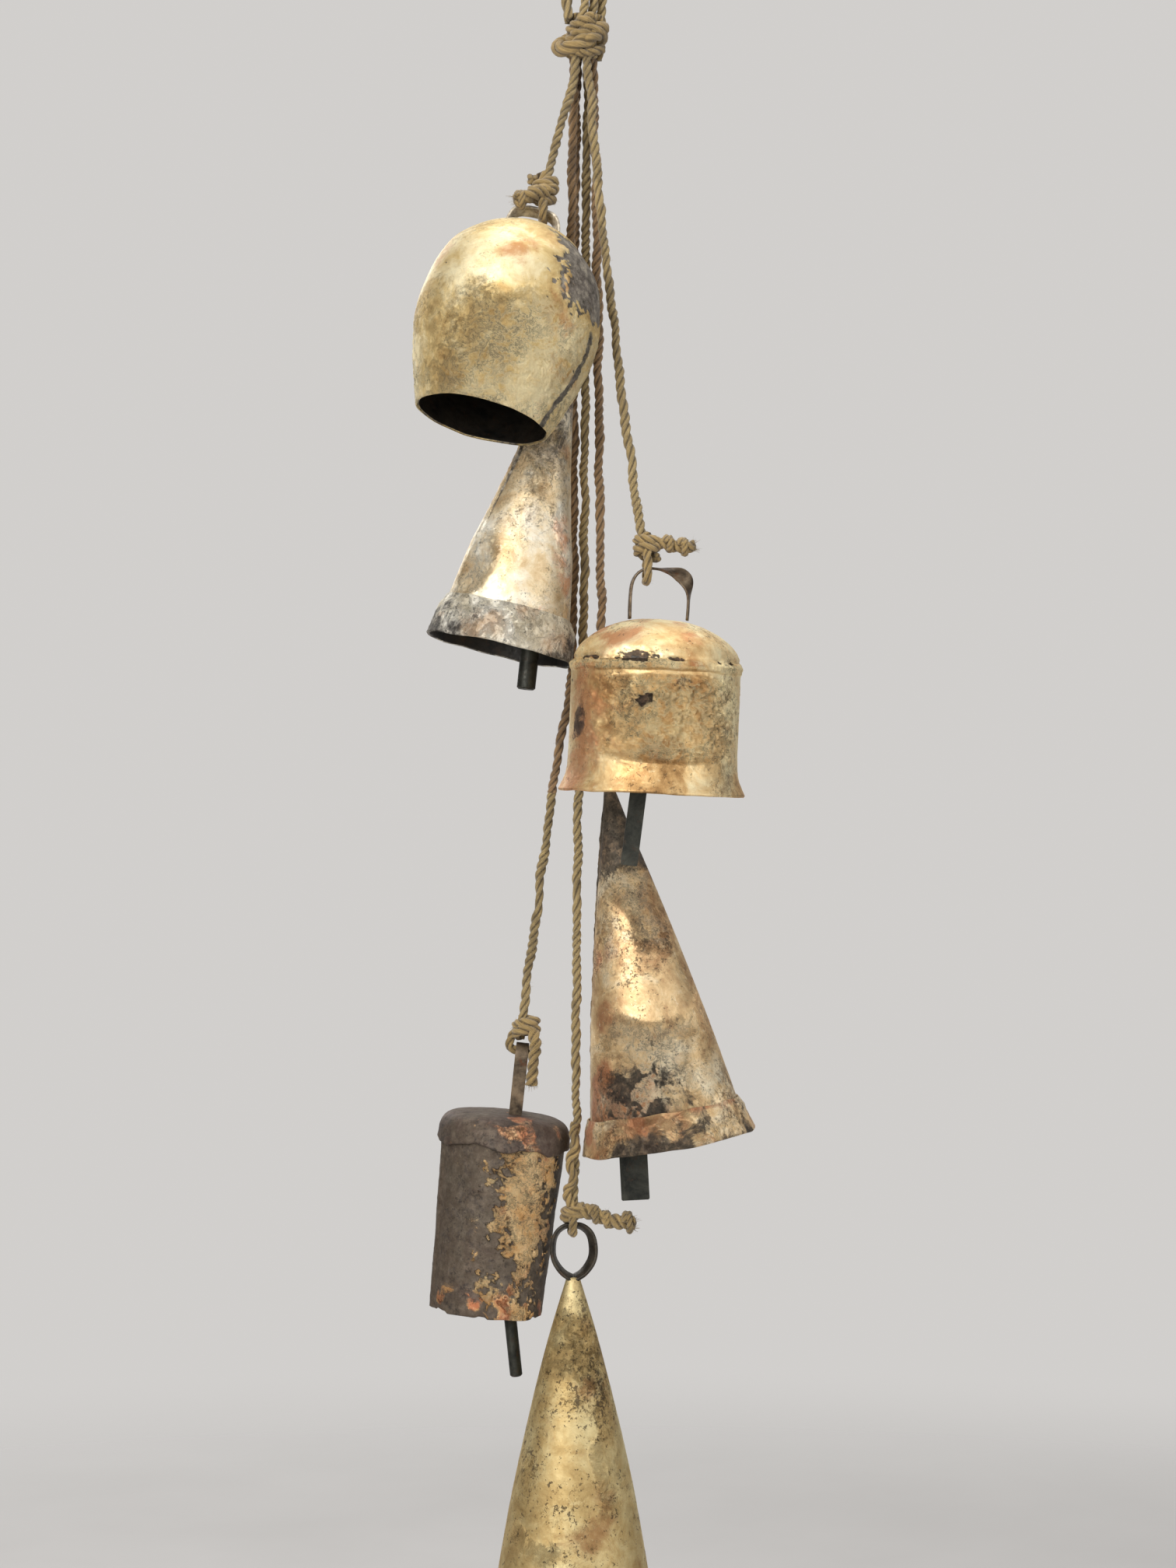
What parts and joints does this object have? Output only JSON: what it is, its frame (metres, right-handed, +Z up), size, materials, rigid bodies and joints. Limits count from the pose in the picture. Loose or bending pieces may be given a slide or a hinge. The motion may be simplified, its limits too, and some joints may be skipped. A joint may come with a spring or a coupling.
{
  "type": "hanging bell wind chime",
  "caption": "Wind chime of rustic beaten-metal bells with aged brass patina, each hung on its own jute cord from one knotted loop, with swinging clappers",
  "frame": {"origin": "The point inside the top of the hanging loop where a hook or nail bears", "axes": "+X to the right of someone who faces the chime, +Y away from them, +Z up"},
  "size_m": [0.1457, 0.1193, 0.7721],
  "materials": {
    "jute_cord": "twisted jute, rough and hairy",
    "brass_patina": "beaten sheet with an aged brass and copper patina",
    "dark_patina": "dark grey-brown patina with flaking copper",
    "steel_strip": "tarnished strip",
    "steel_wire": "dark wire",
    "iron_clapper": "blackened iron"
  },
  "bodies": {
    "hanging_top": {"main_knot": "jute_cord", "loop_strand_1": "jute_cord", "loop_strand_2": "jute_cord", "loop_strand_3": "jute_cord"},
    "line_1": {"cord_1": "jute_cord", "end_knot_1": "jute_cord"},
    "line_2": {"cord_2": "jute_cord", "end_knot_2": "jute_cord"},
    "line_3": {"cord_3": "jute_cord", "end_knot_3": "jute_cord"},
    "line_4": {"cord_4": "jute_cord", "end_knot_4": "jute_cord"},
    "core_cords": {"cord_5_upper": "jute_cord", "cord_6_upper": "jute_cord"},
    "line_5": {"cord_5_lower": "jute_cord", "end_knot_5": "jute_cord"},
    "line_6": {"cord_6_lower": "jute_cord", "end_knot_6": "jute_cord"},
    "bell_1": {"bell_1_shell": "brass_patina", "hanger_1": "steel_strip", "clapper_pin_1": "steel_wire"},
    "clapper_1_swinging": {"clapper_1": "iron_clapper", "clapper_wire_1": "steel_wire"},
    "bell_2": {"bell_2_shell": "brass_patina", "bell_2_rim": "brass_patina", "hanger_2": "steel_strip", "clapper_pin_2": "steel_wire"},
    "clapper_2_swinging": {"clapper_2": "iron_clapper", "clapper_wire_2": "steel_wire"},
    "bell_3": {"bell_3_crown": "brass_patina", "bell_3_skirt": "brass_patina", "hanger_3": "steel_strip", "clapper_pin_3": "steel_wire"},
    "clapper_3_swinging": {"clapper_3": "iron_clapper", "clapper_wire_3": "steel_wire"},
    "bell_4": {"bell_4_shell": "brass_patina", "bell_4_rim": "brass_patina", "hanger_4": "steel_strip", "clapper_pin_4": "steel_wire"},
    "clapper_4_swinging": {"clapper_4": "iron_clapper", "clapper_wire_4": "steel_wire"},
    "bell_5": {"bell_5_lid": "dark_patina", "bell_5_body": "dark_patina", "hanger_5": "steel_strip", "clapper_pin_5": "steel_wire"},
    "clapper_5_swinging": {"clapper_5": "iron_clapper", "clapper_wire_5": "steel_wire"},
    "bell_6": {"bell_6_shell": "brass_patina", "hanger_6": "steel_strip", "clapper_pin_6": "steel_wire"},
    "clapper_6_swinging": {"clapper_6": "iron_clapper", "clapper_wire_6": "steel_wire"}
  },
  "joints": [
    {"name": "cord_1_swing", "type": "hinge", "parent": "hanging_top", "child": "line_1", "pos_m": [-0.0018, -0.0048, -0.0784], "axis": [-0.6606, 0.7507, 0], "range_deg": [0, 35]},
    {"name": "cord_2_swing", "type": "hinge", "parent": "hanging_top", "child": "line_2", "pos_m": [-0.0024, 0, -0.0784], "axis": [0.4983, 0.867, 0], "range_deg": [0, 25]},
    {"name": "cord_3_swing", "type": "hinge", "parent": "hanging_top", "child": "line_3", "pos_m": [0.0034, -0.0048, -0.0784], "axis": [-0.5291, -0.8486, 0], "range_deg": [0, 30]},
    {"name": "cord_4_swing", "type": "hinge", "parent": "hanging_top", "child": "line_4", "pos_m": [0.0058, 0, -0.0784], "axis": [0.7071, -0.7071, 0], "range_deg": [0, 18]},
    {"name": "core_swing", "type": "hinge", "parent": "hanging_top", "child": "core_cords", "pos_m": [0.0013, 0.0047, -0.0784], "axis": [1, 0, 0], "range_deg": [0, 15]},
    {"name": "cord_5_lower_swing", "type": "hinge", "parent": "core_cords", "child": "line_5", "pos_m": [-0.0123, 0.018, -0.3924], "axis": [0, 1, 0], "range_deg": [0, 25]},
    {"name": "cord_6_lower_swing", "type": "hinge", "parent": "core_cords", "child": "line_6", "pos_m": [-0.0007, 0.0132, -0.3964], "axis": [-1, 0, 0], "range_deg": [0, 25]},
    {"name": "bell_1_tip", "type": "hinge", "parent": "line_1", "child": "bell_1", "pos_m": [-0.0154, -0.018, -0.148], "axis": [0, 0.9799, -0.1994], "range_deg": [0, 10]},
    {"name": "bell_2_tip", "type": "hinge", "parent": "line_2", "child": "bell_2", "pos_m": [-0.0035, 0.011, -0.1943], "axis": [0, 0.9981, -0.061], "range_deg": [0, 11]},
    {"name": "bell_3_tip", "type": "hinge", "parent": "line_3", "child": "bell_3", "pos_m": [0.0285, -0.024, -0.3003], "axis": [0, -1, 0], "range_deg": [-5, 20]},
    {"name": "bell_4_tip", "type": "hinge", "parent": "line_4", "child": "bell_4", "pos_m": [0.01, 0.018, -0.3711], "axis": [0, -0.9998, 0.0175], "range_deg": [0, 15]},
    {"name": "bell_5_tip", "type": "hinge", "parent": "line_5", "child": "bell_5", "pos_m": [-0.0249, 0.018, -0.5016], "axis": [0.9945, 0, -0.1045], "range_deg": [0, 25]},
    {"name": "bell_6_tip", "type": "hinge", "parent": "line_6", "child": "bell_6", "pos_m": [-0.0027, 0.005, -0.5787], "axis": [0, -1, 0], "range_deg": [-5, 12]},
    {"name": "clapper_1_swing", "type": "hinge", "parent": "bell_1", "child": "clapper_1_swinging", "pos_m": [-0.02252, -0.02102, -0.16284], "axis": [0, 0.9799, -0.1994], "range_deg": [-24, 26]},
    {"name": "clapper_2_swing", "type": "hinge", "parent": "bell_2", "child": "clapper_2_swinging", "pos_m": [-0.00926, 0.00946, -0.2194], "axis": [0, 0.9981, -0.061], "range_deg": [-5, 18]},
    {"name": "clapper_3_swing", "type": "hinge", "parent": "bell_3", "child": "clapper_3_swinging", "pos_m": [0.03292, -0.024, -0.32752], "axis": [0, -1, 0], "range_deg": [-22, 26]},
    {"name": "clapper_4_swing", "type": "hinge", "parent": "bell_4", "child": "clapper_4_swinging", "pos_m": [0.01597, 0.01738, -0.40639], "axis": [0, -0.9998, 0.0175], "range_deg": [-4, 16]},
    {"name": "clapper_5_swing", "type": "hinge", "parent": "bell_5", "child": "clapper_5_swinging", "pos_m": [-0.03808, 0.018, -0.54184], "axis": [0, -1, 0], "range_deg": [-22, 6]},
    {"name": "clapper_6_swing", "type": "hinge", "parent": "bell_6", "child": "clapper_6_swinging", "pos_m": [-0.0027, 0.005, -0.6181], "axis": [0, 1, 0], "range_deg": [-12, 12]}
  ]
}
